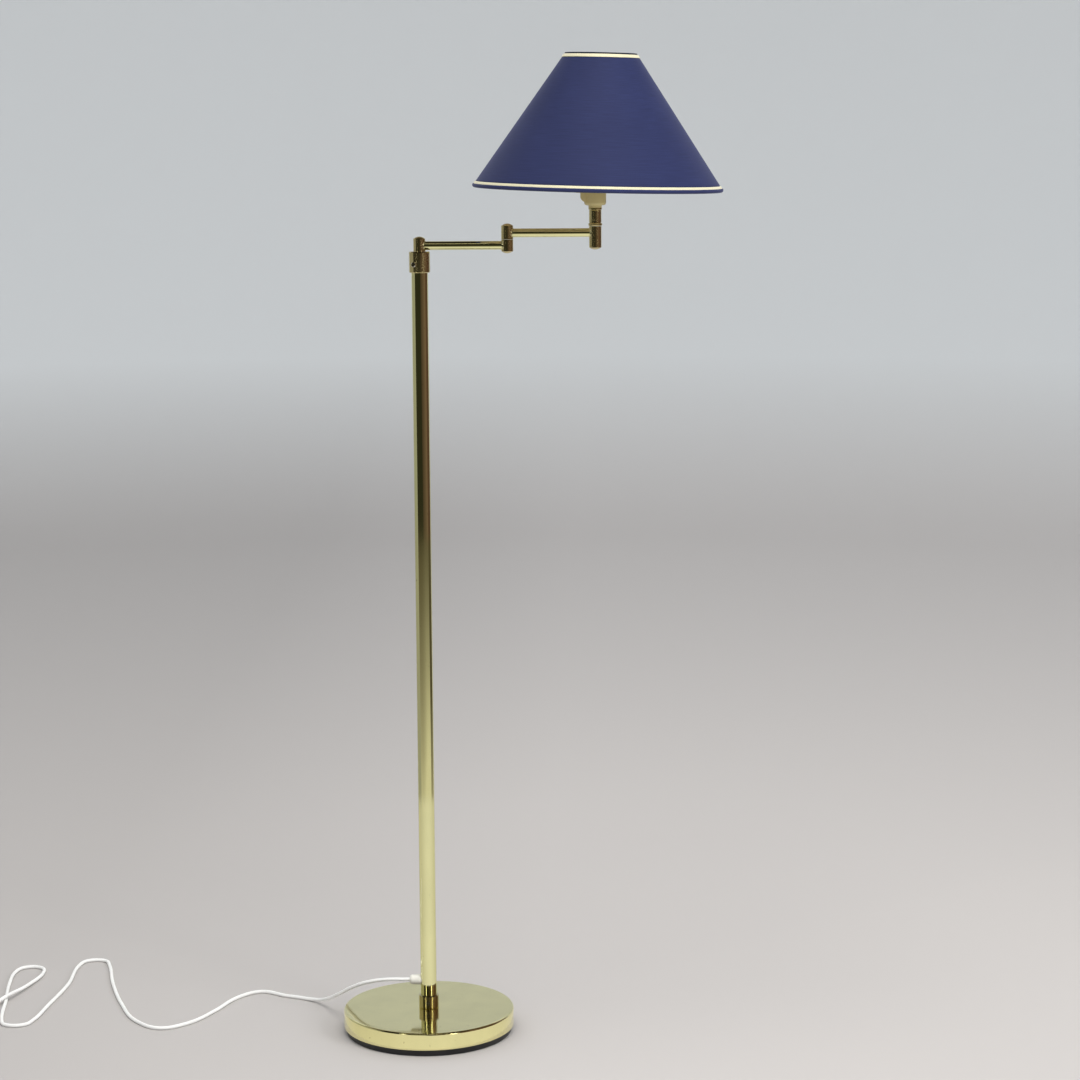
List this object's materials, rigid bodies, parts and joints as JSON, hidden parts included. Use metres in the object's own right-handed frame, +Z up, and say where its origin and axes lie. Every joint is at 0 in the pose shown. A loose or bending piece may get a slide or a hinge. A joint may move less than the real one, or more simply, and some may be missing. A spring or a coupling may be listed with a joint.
{
  "type": "bridge floor lamp",
  "caption": "Floor lamp with a round weighted base, telescopic brass stem, folding two-link swing arm and a swivelling lampholder under a conical cloth shade.",
  "frame": {"origin": "centre of the underside of the base pad, on the floor", "axes": "+Z up along the stem; +X along the two arms from the stem to the lampholder in the stored pose; -Y is the side that the picture shows"},
  "size_m": [1.1331, 0.4694, 1.3064],
  "materials": {
    "polished_brass": "polished and lacquered",
    "socket_contact": "rolled, nickel-flashed",
    "black_pan": "satin black",
    "felt_pad": "pressed felt",
    "iron_weight": "as cast",
    "zinc_steel": "zinc plated",
    "nickel_screw": "nickel plated",
    "frame_wire": "white enamelled wire",
    "nylon": "natural nylon",
    "cream_plastic": "moulded, satin",
    "socket_ceramic": "glazed",
    "white_flex": "PVC sheath",
    "white_plug": "moulded PVC",
    "lamp_cap": "rolled thread",
    "opal_glass": "opal",
    "navy_cloth": "satin cloth laminated on film",
    "gilt_braid": "metallic braid",
    "navy_binding": "bias binding"
  },
  "bodies": {
    "stand": {"base_pad": "felt_pad", "base_pan": "black_pan", "pan_screws": "zinc_steel", "base_weight": "iron_weight", "base_bolt": "zinc_steel", "base_washer": "zinc_steel", "base_cover": "polished_brass", "foot_collar": "polished_brass", "foot_collar_screw": "nickel_screw", "stem_foot_plug": "zinc_steel", "stem_tube": "polished_brass", "stem_lead": "white_flex", "cord_bush": "white_plug", "clamp_collar": "polished_brass", "collar_liner": "nylon", "cord_stretch": "white_flex", "cord_coil": "white_flex", "cord_tail": "white_flex", "plug_body": "white_plug", "plug_pins": "nickel_screw"},
    "clamp_screw": {"clamp_screw": "nickel_screw"},
    "riser": {"riser_tube": "polished_brass", "riser_guide": "nylon", "riser_plug": "zinc_steel", "riser_nut": "zinc_steel", "riser_washer": "nylon", "riser_lead": "white_flex"},
    "arm_1": {"stem_knuckle": "polished_brass", "stem_knuckle_cap": "polished_brass", "arm_1_tube": "polished_brass", "arm_1_lead": "white_flex", "mid_knuckle_lower": "polished_brass", "mid_cap_lower": "polished_brass", "mid_nipple": "zinc_steel", "mid_nuts": "zinc_steel", "mid_washer": "nylon"},
    "arm_2": {"mid_knuckle_upper": "polished_brass", "mid_cap_upper": "polished_brass", "arm_2_tube": "polished_brass", "arm_2_lead": "white_flex", "end_knuckle": "polished_brass", "end_cap": "polished_brass", "end_washer": "nylon"},
    "head": {"head_nipple": "zinc_steel", "head_nuts": "zinc_steel", "neck": "polished_brass", "head_lead": "white_flex", "holder_cap": "cream_plastic", "holder_shell": "cream_plastic", "ring_nut": "cream_plastic", "socket_insert": "socket_ceramic", "socket_sleeve": "socket_contact", "bulb_cap": "lamp_cap", "bulb_glass": "opal_glass", "shade_spider": "frame_wire", "shade_top_wire": "frame_wire", "shade_cone": "navy_cloth", "shade_trims": "gilt_braid", "shade_hem": "navy_binding"},
    "switch": {"switch_button": "cream_plastic"}
  },
  "joints": [
    {"name": "clamp_screw_turn", "type": "hinge", "parent": "stand", "child": "clamp_screw", "pos_m": [0, 0, 1.0356], "axis": [-0.4226, -0.9063, 0], "range_deg": [0, 360]},
    {"name": "riser_slide", "type": "slide", "parent": "stand", "child": "riser", "axis": [0, 0, 1], "range_m": [0, 0.3]},
    {"name": "arm_1_swing", "type": "hinge", "parent": "riser", "child": "arm_1", "pos_m": [0, 0, 1.0595], "axis": [0, 0, 1], "range_deg": [-170, 170]},
    {"name": "arm_2_swing", "type": "hinge", "parent": "arm_1", "child": "arm_2", "pos_m": [0.1145, 0, 1.067], "axis": [0, 0, 1], "range_deg": [-160, 160]},
    {"name": "head_swivel", "type": "hinge", "parent": "arm_2", "child": "head", "pos_m": [0.229, 0, 1.084], "axis": [0, 0, 1], "range_deg": [-170, 170]},
    {"name": "switch_push", "type": "slide", "parent": "head", "child": "switch", "axis": [1, 0, 0], "range_m": [0, 0.0025], "stiffness_N_per_m": 400, "springref_m": -0.003}
  ]
}
